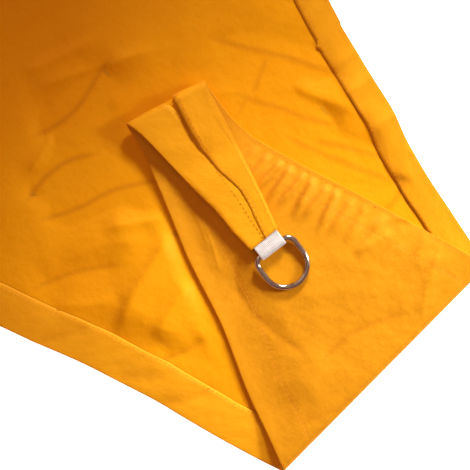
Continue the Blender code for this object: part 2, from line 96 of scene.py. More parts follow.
def write_mesh(name, points, faces, material, fields=(), merge=0, close=False):
    """A smooth-shaded object from points in mm and an array of equal faces.

    fields are numbers or vectors of the points, for the material to read. Points
    closer than merge are joined, and close fills the open ends.
    """
    mesh = bpy.data.meshes.new(name)
    mesh.from_pydata((points.reshape(-1, 3) * MM).tolist(), [], faces.tolist())
    for field, values in dict(fields).items():
        vector = values.size == points.size
        layer = mesh.attributes.new(field, "FLOAT_VECTOR" if vector else "FLOAT", "POINT")
        layer.data.foreach_set("vector" if vector else "value", values.ravel().astype("f"))
    mesh.shade_smooth()
    mesh.materials.append(material)
    work = bmesh.new()
    work.from_mesh(mesh)
    if merge:
        bmesh.ops.remove_doubles(work, verts=work.verts, dist=merge * MM)
    if close:
        bmesh.ops.holes_fill(work, edges=[e for e in work.edges if e.is_boundary], sides=0)
        bmesh.ops.recalc_face_normals(work, faces=work.faces)
    work.to_mesh(mesh)
    work.free()
    return placed(name, mesh)


# %% [markdown]
# ## Shader maths as Python
#
# A material here is a formula such as `x.sine() * y.sine()`. `Field` wraps one
# socket, and its operators add the Math nodes. `Nodes` adds all the others.

# %% A socket that can be calculated with
class Field:
    """A number that varies over a surface."""

    def __init__(self, nodes, socket):
        self.nodes = nodes
        self.socket = socket

    def _math(self, operation, *values):
        node = self.nodes.node("ShaderNodeMath", {"operation": operation})
        for place, value in zip(node.inputs, values):
            self.nodes.feed(place, value)
        return Field(self.nodes, node.outputs[0])

    def __add__(self, other):
        return self._math("ADD", self, other)

    def __sub__(self, other):
        return self._math("SUBTRACT", self, other)

    def __rsub__(self, other):
        return self._math("SUBTRACT", other, self)

    def __mul__(self, other):
        return self._math("MULTIPLY", self, other)

    __radd__ = __add__
    __rmul__ = __mul__

    def sine(self):
        return self._math("SINE", self)

    def size(self):
        return self._math("ABSOLUTE", self)

    def ramp(self, low, high):
        """0 at low and 1 at high, smooth at both ends."""
        node = self.nodes.node("ShaderNodeMapRange", {"interpolation_type": "SMOOTHSTEP"},
                               Value=self, From_Min=low, From_Max=high)
        return Field(self.nodes, node.outputs["Result"])


# %% Node trees and finishes
class Nodes:
    """A node tree whose inputs take numbers, colours, Fields and outputs, with _ for a space."""

    def __init__(self, tree):
        self.tree = tree

    def feed(self, place, value):
        if isinstance(value, Field):
            value = value.socket
        if isinstance(value, bpy.types.NodeSocket):
            self.tree.links.new(value, place)
        else:
            place.default_value = value

    def node(self, kind, settings=(), **inputs):
        """A new node with its settings made and then its sockets fed."""
        made = self.tree.nodes.new(kind)
        for key, value in dict(settings).items():
            setattr(made, key, value)
        return self.fill(made, **inputs)

    def fill(self, node, **inputs):
        """Feed a node's sockets by their names, and give it back."""
        for socket, value in inputs.items():
            self.feed(node.inputs[socket.replace("_", " ")], value)
        return node

    def field(self, name):
        """A number that the mesh carries at its points."""
        return Field(self, self.place(name, "Fac"))

    def place(self, name=None, output="Vector"):
        """The vector to draw patterns in: object coordinates, or one that the mesh carries."""
        if name is None:
            return self.node("ShaderNodeTexCoord").outputs["Object"]
        return self.node("ShaderNodeAttribute", {"attribute_name": name}).outputs[output]

    def noise(self, vector, scale, detail=2, rough=0.5, stretch=(1, 1, 1)):
        """Soft noise from 0 to 1, stretched along the axes."""
        mapping = self.node("ShaderNodeMapping", Vector=vector, Scale=stretch)
        made = self.node("ShaderNodeTexNoise", Vector=mapping.outputs[0], Scale=scale,
                         Detail=detail, Roughness=rough)
        return Field(self, made.outputs["Fac"])

    def axes(self, vector):
        """The three numbers of a vector."""
        made = self.node("ShaderNodeSeparateXYZ", Vector=vector)
        return [Field(self, out) for out in made.outputs]

    def mix(self, factor, first, second):
        """A colour between two, as the factor says."""
        made = self.node("ShaderNodeMix", {"data_type": "RGBA"})
        for number, value in ((0, factor), (6, first), (7, second)):
            self.feed(made.inputs[number], value)
        return made.outputs[2]

    def bump(self, height, distance, strength=1, **under):
        """A normal from a height of 0 to 1 that stands for distance in mm."""
        made = self.node("ShaderNodeBump", Height=height, Distance=distance * MM,
                         Strength=strength, **under)
        return made.outputs["Normal"]


class Finish(Nodes):
    """A material with one Principled shader."""

    def __init__(self, name, **constants):
        self.material = bpy.data.materials.new(name)
        self.material.use_nodes = True
        super().__init__(self.material.node_tree)
        self.surface(**constants)

    def surface(self, **inputs):
        """Feed the shader's own sockets, and give the material back."""
        self.fill(self.tree.nodes["Principled BSDF"], **inputs)
        return self.material


# %% [markdown]
# ## The flat cut of the sail
#
# The panel is a right-angled triangle with 2 m legs. Its edges are parabolas, bowed
# inwards by about one twentieth, so that they pull straight when the sail hangs.
# Corner A, of 45 degrees, is folded over, B has the right angle, and C is far away.

# %% Corners and edges of the flat panel
LEG = 2000
LONG_EDGE = LEG * sqrt(2)
CORNER_A = np.array([5, -500])
HALF_ANGLE_A = radians(22.5)
LEG_HOLLOW = 110
LONG_EDGE_HOLLOW = 137
HEMS = {"ab": 34, "bc": 34, "ca": 26}
TIP_WIDTH = 29

CORNER_B = CORNER_A + LEG * direction(pi / 2 + HALF_ANGLE_A)
CORNER_C = CORNER_A + LONG_EDGE * direction(pi / 2 - HALF_ANGLE_A)
MIDDLE = (CORNER_A + CORNER_B + CORNER_C) / 3


def hollow_edge(start, end, hollow):
    """Edge as a function of t: start + chord t + bow 4t(1 - t), bowed to the middle."""
    chord = end - start
    across = np.array([-chord[1], chord[0]]) / np.linalg.norm(chord)
    bow = across * np.sign(np.dot(MIDDLE - start, across)) * hollow

    def at(t):
        t = np.asarray(t, float)[..., None]
        return start + chord * t + bow * 4 * t * (1 - t)

    return at


EDGES = {
    "ab": hollow_edge(CORNER_A, CORNER_B, LEG_HOLLOW),
    "bc": hollow_edge(CORNER_B, CORNER_C, LEG_HOLLOW),
    "ca": hollow_edge(CORNER_C, CORNER_A, LONG_EDGE_HOLLOW),
}
t = np.linspace(0, 1, 400)
outline = {name: edge(t) * MM for name, edge in EDGES.items()}
edge_length = {name: run_length(line)[-1] for name, line in outline.items()}
print("edge lengths in m:", {name: round(float(size), 2) for name, size in edge_length.items()})

# %% [markdown]
# ## How corner A lies
#
# A real corner never folds cleanly: the hem gathers, and the strap is pulled to one
# side. The table gives the two edges of the cloth from the tip (row 0) past the
# small fold (row 149) and the big fold (row 452) to where the sail is plain.

# %% Stations of corner A
CORNER_A_EDGES = np.array((
    # row, left x, left y, right x, right y
    (0, 85.3, -443.9, 111.6, -430.3),
    (20, 73.9, -425.2, 107.9, -412.5),
    (42, 63.8, -405.2, 103.3, -392),
    (64, 51.3, -386, 98, -371.6),
    (88, 38.6, -365.2, 92, -349.2),
    (112, 26, -343.9, 85.9, -326.2),
    (132, 15.1, -326.8, 80.7, -307.4),
    (149, 4, -312.4, 76.6, -290.9),
    (173, -3, -286, 72.6, -270),
    (200, -13.5, -259, 69.9, -248),
    (230, -26, -229, 71.5, -225),
    (265, -41, -194, 80.5, -190),
    (325, -62.3, -131, 99, -130),
    (385, -89.5, -70, 116.5, -69),
    (425, -104, -29, 127.5, -29),
    (452, -114, -2.6, 133.5, -2.6),
    (509, -131.5, 54.7, 145.5, 54.7),
    (546, -140.9, 91, 153, 91),
    (579, -149.2, 124, 162, 124),
    (606, -157.7, 151, 172, 151),
    (640, -168.5, 185, 180, 185),
    (689, -187.5, 234, 192.5, 234),
))
BIG_FOLD_ROW = 452


# %% [markdown]
# ## Folding on paper first
#
# Each fold is a side view: the cloth runs level, turns through a half circle and
# comes back over itself, sinking a little. A point's distance past the fold line
# says where on it the point goes, and its height goes square to the cloth there,
# so every layer and every stitch goes round the fold together.

# %% The two folds
CLOTH = 1.2
SMALL_FOLD_MIDDLE = np.array([40.4, -301.6])
SMALL_FOLD_ALONG = direction(radians(16.5))
SMALL_FOLD_PAST = np.array([SMALL_FOLD_ALONG[1], -SMALL_FOLD_ALONG[0]])
FOLD_PLACE = np.array([-145.02, -1051.06])


class Fold:
    """A fold's side view: length along the cloth, and for each how far on, up, and tilted."""

    def __init__(self, radius, gap, settles):
        turn = np.linspace(0, pi, 180)
        back = np.append(np.linspace(0, settles, 300), 1600)[1:]
        sink = (2 * radius - gap) * ease(0, settles, back)
        self.on = np.append(radius * np.sin(turn), -back)
        self.up = np.append(radius * (1 - np.cos(turn)), 2 * radius - sink)
        self.length = run_length(np.column_stack((self.on, self.up)))
        tilt = np.arctan2(np.gradient(self.up, self.length), np.gradient(self.on, self.length))
        self.tilt = np.where(tilt < -0.5 * pi, tilt + 2 * pi, tilt)
        self.start = -pi * radius / 2
        self.radius = radius

    def bend(self, past, height, side):
        """Carry points round. side is +1 where the cloth comes back over itself, -1 under."""
        t = past - self.start
        off = height * side
        on, up, tilt = (np.interp(t, self.length, way) for way in (self.on, self.up, self.tilt))
        on = self.start + np.where(t > 0, on, t) - off * np.sin(tilt)
        return on, (np.where(t > 0, up, 0) + off * np.cos(tilt)) * side


BIG_FOLD = Fold(radius=4.5, gap=5.2, settles=55)
SMALL_FOLD = Fold(radius=4.8, gap=3, settles=76)
BIG_FOLD_LINE = BIG_FOLD.start + BIG_FOLD.radius
print("the folds rise", [round(float(fold.up.max()), 1) for fold in (BIG_FOLD, SMALL_FOLD)], "mm")

# %% [markdown]
# ## Soft folds and creases
#
# Cloth that has been packed keeps long soft folds, and short creases where it was
# handled. Each is a stroke: a crest (or, with a minus, a valley) along a drawn
# curve. Its height falls away like exp(-distance), so it is sharp along
# the line and soft beside it. The strokes are drawn in picture squares of 0.86 mm,
# counted right and down, and the left flank is on the left hand when walking along.

# %% Strokes that shape the cloth
SQUARE = 0.86
PICTURE_SIDE = 470
PICTURE_RIGHT = np.array((0.7031, -0.7111, 0))
PICTURE_UP = np.array((0.7111, 0.7031, 0))
PICTURE_ORIGIN = np.array((376.5, 376))
FAR_FOLDS = (
    # from x and y, to x and y, height, width, in mm
    (-250, 620, 330, 1120, 12, 75),
    (380, 760, 120, 420, 10, 60),
    (-560, 1190, 60, 1010, 14, 80),
    (820, 1780, 420, 1180, 14, 80),
    (-180, 1430, 520, 1560, 12, 85),
)
SAIL_STROKES = (
    # height, left flank, right flank, then right and down of each point
    (-5, 18, 26, (118, 52,  100, 72,  89, 91,  78, 107,  60, 123,  26, 140)),
    (2.2, 7, 7, (162, 47,  110, 64,  66, 77,  26, 95)),
    (1.8, 6, 6, (102, 38,  54, 60,  20, 76)),
    (2, 6, 6, (56, 126,  44, 150,  28, 176)),
    (-3.6, 12, 15, (104, 152,  66, 162,  47, 176,  22, 208)),
    (-4.6, 20, 17, (172, 178,  138, 184,  111, 191,  83, 206,  32, 223)),
    (2.4, 9, 9, (190, 212,  146, 221,  100, 229)),
    (5.2, 26, 8, (186, 212,  164, 246,  146, 274,  130, 300,  118, 342)),
    (3.2, 22, 6, (194, 272,  178, 298,  163, 322,  152, 344)),
    (-1.6, 9, 9, (156, 362,  180, 354,  206, 338)),
    (1.4, 12, 9, (122, 298,  92, 305,  56, 304)),
    (-4.6, 20, 24, (200, 34,  240, 46,  296, 60,  320, 68,  356, 78)),
    (2, 12, 6, (284, 82,  320, 98,  336, 104,  362, 116)),
    (-4, 12, 16, (230, 91,  256, 101,  280, 108,  312, 120,  346, 127)),
    (-3, 9, 16, (308, 139,  344, 147,  390, 159)),
    (-2.6, 12, 14, (276, 132,  328, 156,  360, 169,  404, 186)),
    (-1.8, 4.5, 5, (268, 54,  260, 76,  252, 96)),
    (-1.5, 4, 4, (247, 98,  234, 122)),
    (1.2, 4, 4, (208, 92,  264, 94)),
    (-2.2, 5, 6, (406, 174,  395, 200,  376, 218)),
    (1.6, 7, 6, (342, 98,  366, 82,  392, 64)),
    (1.4, 6, 5, (394, 184,  404, 166,  418, 144)),
    (1.2, 6, 6, (328, 72,  348, 58,  372, 42)),
    (1.6, 7, 9, (366, 133,  390, 118,  414, 106)),
    (-1.2, 4, 5, (30, 342,  58, 336,  94, 329)),
    (-1.2, 4.5, 4.5, (110, 377,  142, 376,  178, 378)),
    (-1.4, 6, 6, (150, 406,  186, 399,  218, 389)),
    (1.6, 16, 11, (60, 264,  100, 246,  150, 240)),
    (-2, 18, 16, (26, 292,  76, 272,  130, 264)),
)
CORNER_STROKES = (
    # on the folded corner, measured as the strokes above
    (-1.8, 10, 7, (248, 310,  280, 336,  310, 358)),
    (-1.2, 9, 7, (228, 286,  244, 300,  256, 320)),
    (1.2, 4.5, 4, (201, 216,  212, 245,  221, 276)),
    (0.9, 4, 4, (192, 206,  203, 232,  210, 256)),
    (2.8, 10, 5, (440, 242,  427, 283,  419, 322)),
    (2.4, 8, 4, (396, 229,  375, 242,  350, 254)),
    (1.9, 7, 4, (418, 222,  404, 236,  394, 258)),
    (1.6, 6, 4, (366, 232,  392, 219,  418, 222)),
    (1.6, 7, 5, (428, 230,  418, 250,  420, 274)),
    (1.6, 20, 16, (284, 304,  330, 290,  392, 298)),
    (-2, 20, 18, (316, 366,  350, 334,  410, 310)),
    (1.8, 20, 16, (244, 400,  286, 382,  330, 388)),
    (-1.6, 9, 9, (242, 250,  236, 280,  248, 312)),
    (1.4, 14, 12, (322, 246,  352, 266,  392, 272)),
    (-1.4, 14, 12, (292, 424,  330, 410,  362, 388)),
)
print("strokes:", len(SAIL_STROKES), "on the sail,", len(CORNER_STROKES), "on its folded corner")

# %% From a stroke to a height
CREASE_ROUND = 0.12
STROKE_HEIGHT = 1.35
# Width in mm of the painted shade along crease valleys.
CREASE_SHADE_WIDTH = 2.3
FOLDS_FADE = 30


def on_ground(squares):
    """Picture squares to mm about the middle of the big fold, as the camera sees them."""
    across, up = (np.reshape(squares, (-1, 2)) - PICTURE_ORIGIN).T * np.array(((1,), (-1,)))
    return SQUARE * (across[:, None] * PICTURE_RIGHT[:2] + up[:, None] * PICTURE_UP[:2])


def curve_through(stations, at):
    """Cubic through the rows of a table, its slope at each that of the chord past it."""
    place, value = stations[:, 0], stations[:, 1:]
    slope = np.gradient(value, place, axis=0)
    i = np.clip(np.searchsorted(place, at) - 1, 0, len(place) - 2)
    gap = (place[i + 1] - place[i])[:, None]
    t = (at - place[i])[:, None] / gap
    return (value[i] * (1 + 2 * t) * (1 - t) ** 2 + value[i + 1] * t * t * (3 - 2 * t)
            + gap * t * (1 - t) * (slope[i] * (1 - t) - slope[i + 1] * t))


def drawn(squares):
    """The smooth line of a stroke, as fourteen points on the ground."""
    points = on_ground(squares)
    length = run_length(points)
    return curve_through(np.column_stack((length, points)), np.linspace(0, length[-1], 14))


def beside(x, y, line, reach, share, most=inf):
    """Points near a line: which, how far off, on its left or not, and 1 fading to 0 at the ends."""
    low, high = line.min(axis=0) - reach, line.max(axis=0) + reach
    near = (x > low[0]) & (x < high[0]) & (y > low[1]) & (y < high[1])
    length, start, run = run_length(line), line[:-1], np.diff(line, axis=0)
    off = np.stack((x[near], y[near]), axis=-1)[:, None] - start
    t = np.clip(np.sum(off * run, axis=-1) / np.sum(run * run, axis=-1), 0, 1)
    off = off - t[..., None] * run
    distance = np.linalg.norm(off, axis=-1)
    nearest = np.argmin(distance, axis=1)
    pick = (np.arange(len(nearest)), nearest)
    on_left = (run[:, 0] * off[..., 1] - run[:, 1] * off[..., 0])[pick] > 0
    along = length[nearest] + t[pick] * np.diff(length)[nearest]
    fade = min(share * length[-1], most)
    ends = ease(0, fade, along) * ease(length[-1], length[-1] - fade, along)
    return near, distance[pick], on_left, ends


def add_ridge(height, x, y, line, tall, left, right, share, most=inf):
    """Add tall * exp(-distance / flank) about a line, a little rounded at its top."""
    near, distance, on_left, ends = beside(x, y, line, 6 * max(left, right), share, most)
    off = np.hypot(distance / np.where(on_left, left, right), CREASE_ROUND) - CREASE_ROUND
    height[near] += tall * ends * np.exp(-off)


# %% Sums of strokes
def strokes(table, x, y):
    """A table's ridges, each eased over a quarter of its length at both ends."""
    height = np.zeros_like(x)
    for tall, left, right, squares in table:
        add_ridge(height, x, y, drawn(squares), STROKE_HEIGHT * tall, left, right, 0.25)
    return height


def far_folds(x, y):
    """The broad folds of the far part of the sail."""
    height = np.zeros_like(x)
    for *ends, tall, wide in FAR_FOLDS:
        add_ridge(height, x, y, np.reshape(ends, (2, 2)), tall, wide, wide, 0.5, FOLDS_FADE + wide)
    return height


def painted_crease_shade(table, x, y):
    """How near a point is to the bottom of a valley, where shade is painted: 0 to 1."""
    worn = np.zeros_like(x)
    for tall, _, _, squares in table:
        if tall < 0:
            near, distance, _, ends = beside(x, y, drawn(squares), 12, 0.2)
            dark = ends * min(1, -tall / 3) * np.exp(-(distance / CREASE_SHADE_WIDTH) ** 2)
            worn[near] = np.maximum(worn[near], dark)
    return worn


# %% [markdown]
# ## Where the cloth lies
#
# The sail's soft folds stop near the tips of corners B and C, and under the folded
# corner, whose weight presses the cloth flat.

# %% From flat cloth to its place
TIP_LIFT = 1.6
STRAP_LIFT = 3
COVER_LEFT = (-115, 0.387)
COVER_RIGHT = (134, -0.235)
COVER_TOP = (333.7, -0.3)
SAIL_RISE = 3.6
EDGE_SINK = 4
EDGE_CURL = 1.6
RIGHT_SINK = 3
CORNER_CREASES = 0.6


def inside_corner(x, y):
    """How far a point is inside the folded corner's left and right side, along x."""
    return x - COVER_LEFT[0] - COVER_LEFT[1] * y, COVER_RIGHT[0] + COVER_RIGHT[1] * y - x


def under_corner(x, y, reach):
    """1 where the folded corner covers the sail, 0 beyond a reach from its three sides."""
    left, right = (ease(-reach, 0, inside) for inside in inside_corner(x, y))
    top = ease(-reach / 2, reach / 2, COVER_TOP[0] + COVER_TOP[1] * x - y)
    return left * right * top


def lie(x, y):
    """Height of the sail's folds and creases on the ground."""
    raised = SAIL_RISE * (1 - under_corner(x, y, 64))
    soft = strokes(SAIL_STROKES, x, y) + far_folds(x, y)
    height = np.maximum(raised + soft * (1 - under_corner(x, y, 18)), 0) * ease(4, 60, y)
    for corner in (CORNER_B, CORNER_C):
        away = np.hypot(x - corner[0], y - corner[1])
        height = height * ease(60, 240, away) + TIP_LIFT * ease(260, 160, away)
    return np.maximum(height, 0)


def corner_relief(x, y):
    """The folded corner sinks towards its sides, curls up at the left, and is creased."""
    left, right = inside_corner(x, y)
    left = left / hypot(1, COVER_LEFT[1])
    right = right / hypot(1, COVER_RIGHT[1])
    left = EDGE_CURL * ease(15, 0, left) - EDGE_SINK * ease(56, 18, left)
    left = left * ease(4, 46, y) * ease(296, 200, y)
    right = -RIGHT_SINK * ease(40, 4, right) * ease(20, 90, y) * ease(270, 210, y)
    creases = CORNER_CREASES * strokes(CORNER_STROKES, x, y) * ease(4, 20, y)
    return left + right + creases


def strap_lift(along, past):
    """The strap's left side stands up between its fold and its loop."""
    return STRAP_LIFT * ease(10, -34, along) * ease(2, 40, past) * ease(76, 34, past)


def place(flat, height):
    """Flat cloth and height above its middle, to where the point lies, in mm."""
    off = flat - SMALL_FOLD_MIDDLE
    along, past = off @ SMALL_FOLD_ALONG, off @ SMALL_FOLD_PAST
    run, up = SMALL_FOLD.bend(past, height, -1)
    on_strap = past > SMALL_FOLD.start
    up = np.where(on_strap, up - strap_lift(along, past), height)
    run = np.where(on_strap, run, past)
    moved = (SMALL_FOLD_MIDDLE + along[..., None] * SMALL_FOLD_ALONG
             + run[..., None] * SMALL_FOLD_PAST)
    run, up = BIG_FOLD.bend(BIG_FOLD_LINE - moved[..., 1], up, 1)
    x, y = moved[..., 0], BIG_FOLD_LINE - run
    folded = moved[..., 1] < BIG_FOLD_LINE
    relief = np.where(folded, np.where(on_strap, 0, corner_relief(x, y)), lie(x, y))
    return np.stack((x + FOLD_PLACE[0], y + FOLD_PLACE[1], up + relief + CLOTH / 2), axis=-1)


# %% [markdown]
# ## Rows of cloth
#
# Each corner is gridded in rows from its tip towards the middle of the sail. The
# three grids meet along lines from the middle of each edge.

# %% Rows of each corner
ROW_NUMBERS = (0, 47, 61, 82, 140, 173, 185, 276)
ROW_DISTANCES = (0, 138, 162, 228, 340, 444, 460, 689)
ROWS_A = np.interp(np.arange(ROW_NUMBERS[-1] + 1), ROW_NUMBERS, ROW_DISTANCES)
FAR_STEPS = np.concatenate((np.linspace(0, 0.25, 78)[1:],
                            0.25 + 0.75 * np.linspace(0, 1, 21)[1:] ** 1.6))
PLAIN_ROWS = 40
HALF_COLUMNS = 81
BEND_COLUMNS = 5
HEM_COLUMNS = 8


def folded_rows(left, right):
    """Row ends and middles of corner A: by its table first, then along the edges."""
    ends = curve_through(CORNER_A_EDGES, ROWS_A)
    t = np.linspace(0, 1, 8001)
    rows = []
    for edge, near in ((left, ends[:, :2]), (right, ends[:, 2:])):
        start = t[np.argmin(np.linalg.norm(edge(t) - near[-1], axis=1))]
        rows.append(np.vstack((near, edge(start + (0.5 - start) * FAR_STEPS))))
    middle = (ends[:, :2] + ends[:, 2:]) / 2
    far = middle[-1] + (MIDDLE - middle[-1]) * FAR_STEPS[:, None]
    return (*rows, np.vstack((middle, far)))


def plain_rows(left, right):
    """Row ends and middles of a corner that lies flat, crowded towards its tip."""
    length = [np.linalg.norm(side(1) - side(0)) for side in (left, right)]
    short = min(length)
    trial = np.linspace(0, 0.1 * short, 4001)
    width = np.linalg.norm(left(trial / length[0]) - right(trial / length[1]), axis=1)
    first = trial[np.argmax(width >= TIP_WIDTH)]
    step = np.linspace(0, 1, PLAIN_ROWS + 1)
    common = first + (short / 2 - first) * (0.16 * step + 0.84 * step ** 2.1)
    lefts, rights = (side((common + (size - short) / 2 * step ** 3) / size)
                     for side, size in zip((left, right), length))
    turn = ease(0, 1, step)[:, None]
    straight = (lefts + rights) / 2
    reach = np.linalg.norm(straight - straight[0], axis=1)[:, None]
    to_middle = straight[0] + (MIDDLE - straight[0]) * reach / reach[-1]
    return lefts, rights, straight * (1 - turn) + to_middle * turn


CORNERS = {
    "a": folded_rows(EDGES["ab"], lambda t: EDGES["ca"](1 - t)),
    "b": plain_rows(EDGES["bc"], lambda t: EDGES["ab"](1 - t)),
    "c": plain_rows(EDGES["ca"], lambda t: EDGES["bc"](1 - t)),
}
print("rows:", {name: len(rows[0]) for name, rows in CORNERS.items()})

# %% [markdown]
# ## The hem
#
# The edge of the cloth is turned over by 34 mm on the legs and 26 mm on the long
# edge, and stitched down. Each row of the grid runs out to the edge, round a tight
# bend, and back to the hem's free edge. In the straps the right hem lies on the
# left one, and the webbing lies between them and the cloth below.

# %% Layers of cloth at the edges
BASE_LEVEL = -0.3
HEM_LEVEL = 0.3
SLIT_RISE = 0.4
OVER_LEVEL = 0.7
STRAP_GAPE = 2.2
POCKET_LEVEL = 4.55
POCKET_OVER_LEVEL = 4.95
SHEET = 0.36
TIP_BEND = 0.6
POCKET_DEPTH = {"a": 63.1, "b": 47, "c": 61.5}
SIDE_EDGES = {"a": ("ab", "ca"), "b": ("bc", "ab"), "c": ("ca", "bc")}
STRAP_HEM_SHARES = np.array((
    # distance from the tip, left and right share of the strap's half width
    (0, 1.45, 0.92), (30, 1.45, 0.72), (48, 1.40, 0.72), (70, 1.25, 0.95),
    (95, 1.15, 1.03), (122, 1.10, 0.92), (149, 1.10, 0.78), (180, 1.05, 0.92),
    (230, 1.05, 1),
))


def smooth_numbers(s, seed, pitch):
    """A wavy line from -1 to 1: three sines whose lengths don't fit each other."""
    turn = 2 * pi * s / pitch
    return (np.sin(turn + seed) + np.sin(1.618 * turn + 2.3 * seed) * 0.7
            + np.sin(0.43 * turn + 4.1 * seed) * 0.8) / 2.5


def side_of_corner(name, ends, middles, right, full_hem):
    """Half a corner as a grid: columns run from the middle to the edge and back on the hem."""
    reach = ends - middles
    length = np.linalg.norm(reach, axis=1)[:, None]
    run = np.gradient(ends, axis=0)
    cross = np.abs(run[:, 0] * reach[:, 1] - run[:, 1] * reach[:, 0])[:, None]
    square = cross / (np.linalg.norm(run, axis=1)[:, None] * length)
    along = run_length(ends)[:, None]
    from_tip = np.linalg.norm(middles - middles[0], axis=1)[:, None]

    share = np.interp(from_tip, STRAP_HEM_SHARES[:, 0], STRAP_HEM_SHARES[:, 1 + right])
    strap_hem = np.minimum(np.maximum(full_hem, 34) / square, share * length)
    hem = np.minimum(full_hem / square, share * length)
    hem = strap_hem + (hem - strap_hem) * ease(150, 230, from_tip)
    hem = hem + 0.4 * smooth_numbers(along, 3 + right, 46) * ease(60, 160, from_tip)

    depth = POCKET_DEPTH[name]
    in_pocket = ease(depth + 26, depth, from_tip)
    level = HEM_LEVEL
    if right:
        level = level + (OVER_LEVEL - HEM_LEVEL) * ease(190, 140, from_tip)
    if name == "a" and right:
        level = level + SLIT_RISE * ease(470, 520, from_tip)
    roof = POCKET_OVER_LEVEL if right else POCKET_LEVEL
    level = level + (roof - level) * in_pocket

    bend = length - TIP_BEND
    turn = np.linspace(0, pi, BEND_COLUMNS + 2)[1:-1]
    to_free = np.linspace(0, 1, HEM_COLUMNS)
    base = np.linspace(0, 1, HALF_COLUMNS) * bend
    back = bend + (TIP_BEND - hem) * to_free
    slack = 0.35 * np.sin(pi * to_free) ** 2 * (1 - in_pocket)
    if right:
        gape = STRAP_GAPE * ease(84, 112, from_tip) * ease(160, 144, from_tip)
        slack = slack + gape * to_free ** 2
    bend_up = BASE_LEVEL + (level - BASE_LEVEL) / 2 * (1 - np.cos(turn))
    at = np.hstack((base, bend + TIP_BEND * np.sin(turn), back))
    height = np.hstack((np.full_like(base, BASE_LEVEL), bend_up, level + slack))
    unfolded = np.hstack((base, length + 0 * turn, 2 * length - back))

    unit = reach / length
    from_edge = (length - at) * square
    return {"at": at, "unit": unit, "height": height,
            "flat": middles[:, None] + unit[:, None] * at[..., None],
            "pattern": middles[:, None] + unit[:, None] * unfolded[..., None],
            "from_edge": from_edge, "from_free": hem * square - from_edge,
            "along": np.broadcast_to(along, at.shape),
            "from_tip": np.broadcast_to(from_tip, at.shape)}


# %% [markdown]
# ## Puckers
#
# A seam in coated cloth pulls up small puckers beside the stitching, strongest
# along the right-hand hem of the folded corner. Each is a short ridge square to
# the edge, and the strong ones have painted shade along one side.

# %% Puckers along the seams
STRONG_PUCKERS = (
    # row of corner A, slant, height, width
    (222, 0.10, 1.2, 3.2),
    (234, 0.16, 2.2, 3),
    (245, 0.05, 2.8, 2.8),
    (257, 0.22, 3.2, 3),
    (268, 0.10, 2.8, 2.8),
    (280, 0.30, 3.2, 3.2),
    (291, 0.14, 2.4, 2.8),
    (303, 0.34, 2.8, 3.2),
    (316, 0.20, 1.9, 3.2),
    (330, 0.30, 1.7, 3.6),
    (347, 0.20, 1.3, 4),
    (366, 0.34, 1.1, 4.4),
    (390, 0.20, 0.9, 5),
)
# Width in mm of the painted shade beside each strong pucker.
PUCKER_SHADE_WIDTH = 2


def seam_puckers(part, name, right):
    """How far each point rises towards the reverse side beside the stitching."""
    near = np.exp(-((part["from_edge"] - HEMS[SIDE_EDGES[name][right]] + 4) / 11) ** 2)
    wave = smooth_numbers(part["along"], 1.7 + right + ord(name), 19)
    fine = smooth_numbers(part["along"] + 0.3 * part["from_edge"], 5.1 + right + ord(name), 9)
    rise = near * (0.22 * wave + 0.12 * fine) * ease(40, 160, part["from_tip"])
    part["worn"] = np.zeros_like(rise)
    if name == "a" and right:
        inward = part["from_edge"]
        band = ease(3, 12, inward) * ease(50, 28, inward)
        for row, slant, tall, wide in STRONG_PUCKERS:
            across = part["along"] - row - slant * (inward - 20)
            rise = rise - tall * band * np.exp(-(across / wide) ** 2)
            # Painted shade: a dark line along one side of each strong pucker.
            dark = band * tall / 2.8 * np.exp(-((across + wide) / PUCKER_SHADE_WIDTH) ** 2)
            part["worn"] = np.maximum(part["worn"], dark)
    return rise


# %% [markdown]
# ## The sail's sheet
#
# The halves of the corners get their thickness by stepping off to both sides, so
# the cloth has two faces and a cut edge. Each point carries its place on the flat
# cut, so that the weave follows the cloth round its folds. Faces that nobody sees,
# such as the underside, step over columns, and so does the narrow strap.

# %% Halves of the panel
def sheet_parts():
    """Both halves of every corner, with their puckers, and their last rows shared."""
    parts = {}
    for name, (lefts, rights, middles) in CORNERS.items():
        for right, ends in ((False, lefts), (True, rights)):
            part = side_of_corner(name, ends, middles, right, HEMS[SIDE_EDGES[name][right]])
            part["height"] = part["height"] + seam_puckers(part, name, right)
            parts[name, right] = part
    for first, second in zip("abc", "bca"):
        for key in ("at", "flat", "height", "pattern", "from_edge", "from_free", "unit"):
            parts[second, True][key][-1] = parts[first, False][key][-1]
    return parts


parts = sheet_parts()
print("points of the halves:", {key: part["height"].size for key, part in parts.items()})

# %% The two faces of each half
def hidden_gap(part, name, side):
    """The coarser unseen faces stand off a little, so that they never show through."""
    from_tip = part["from_tip"]
    inside = ease(0, 16, part["from_edge"])
    inside[:, HALF_COLUMNS:] = 0
    if side < 0:
        start = 472 if name == "a" else 60
        return -1.1 * inside * ease(start, start + 40, from_tip)
    if name != "a":
        return 0
    return 0.5 * inside * ease(168, 200, from_tip) * ease(440, 415, from_tip)


def faces_of_half(part, name):
    """Upper and lower face: the cross-section moved half a sheet along (-rise, run)."""
    run, rise = (np.gradient(part[key], axis=1) for key in ("at", "height"))
    rise[:, 0] = 0
    size = np.hypot(run, rise)
    for side in (1, -1):
        out = -side * SHEET / 2 * rise / size
        level = part["height"] + side * SHEET / 2 * run / size + hidden_gap(part, name, side)
        grid = place(part["flat"] + part["unit"][:, None] * out[..., None], level)
        grid[..., 2] = np.maximum(grid[..., 2], 0.04 + 0.02 * side)
        yield grid


# %% Triangles of a face
HIDDEN_STEP = 5
SHARED_ROWS = 14
UPPER_STEPS = ((-1, 4), (162, HIDDEN_STEP), (442, 1))
LOWER_STEPS = ((-1, 4), (162, 2), (236, 1), (470, HIDDEN_STEP))


